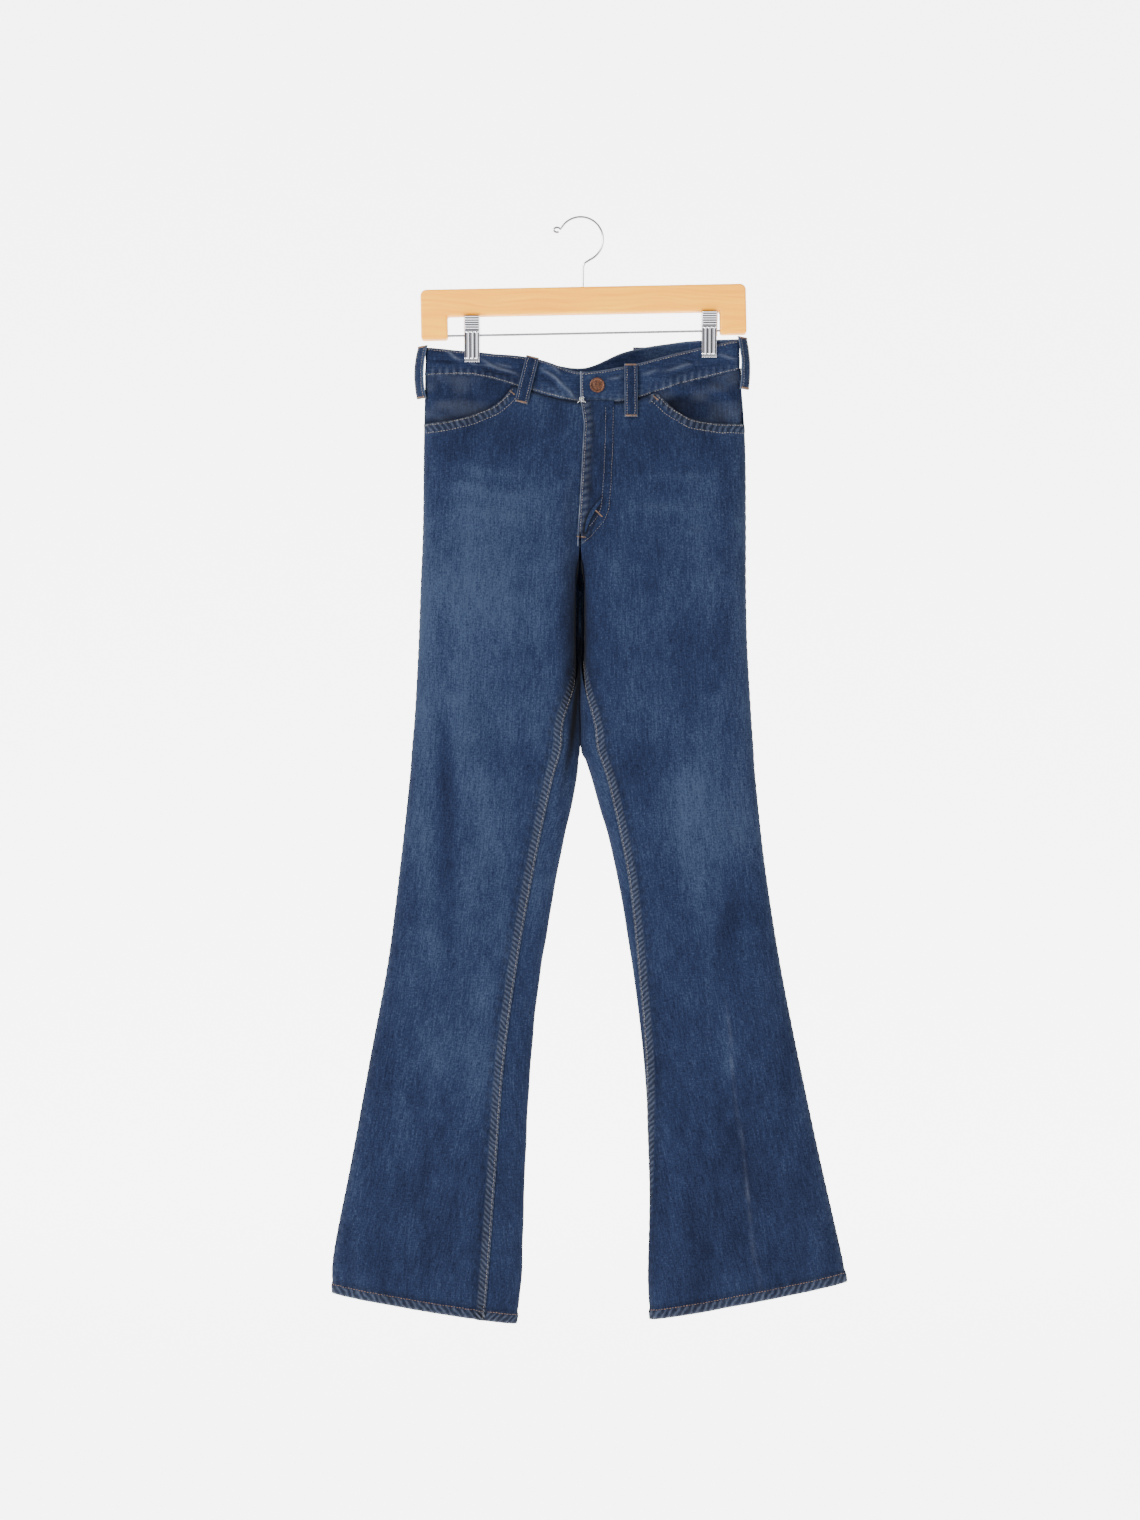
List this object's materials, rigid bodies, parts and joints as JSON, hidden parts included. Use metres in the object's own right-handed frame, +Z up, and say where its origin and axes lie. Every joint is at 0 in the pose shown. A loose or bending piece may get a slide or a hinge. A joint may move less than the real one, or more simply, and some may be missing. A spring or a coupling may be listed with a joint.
{
  "type": "flared jeans on a clip hanger",
  "caption": "Flared denim jeans with scoop pockets, button fly and wide hems, hanging flat by the waistband from a wooden hanger with spring clips.",
  "frame": {"origin": "inside of the crown of the hanger's hook, where a peg or rail carries it", "axes": "+Z up along the hanging length, -Y towards the front of the jeans, +X towards the wearer's left"},
  "size_m": [0.6005, 0.0573, 1.2942],
  "materials": {
    "denim": "washed indigo twill, faded on the thighs and worn pale at the edges",
    "copper": "dull copper",
    "beech": "satin varnish",
    "steel": "bright wire",
    "chrome": "polished plate"
  },
  "bodies": {
    "root": {"front_left": "denim", "front_right": "denim", "back_left": "denim", "back_right": "denim", "yoke_left": "denim", "yoke_right": "denim", "pocket_facing_left": "denim", "pocket_facing_right": "denim", "back_pocket_left": "denim", "back_pocket_right": "denim", "fly": "denim", "waistband": "denim", "loop_front_left": "denim", "loop_front_right": "denim", "loop_side_left": "denim", "loop_side_right": "denim", "loop_back_left": "denim", "loop_back_right": "denim", "button": "copper", "hanger_bar": "beech", "hanger_rod": "steel", "hanger_hook": "steel", "clip_left_front": "chrome", "clip_left_back": "chrome", "clip_left_spring": "steel", "clip_right_front": "chrome", "clip_right_back": "chrome", "clip_right_spring": "steel"}
  },
  "joints": []
}
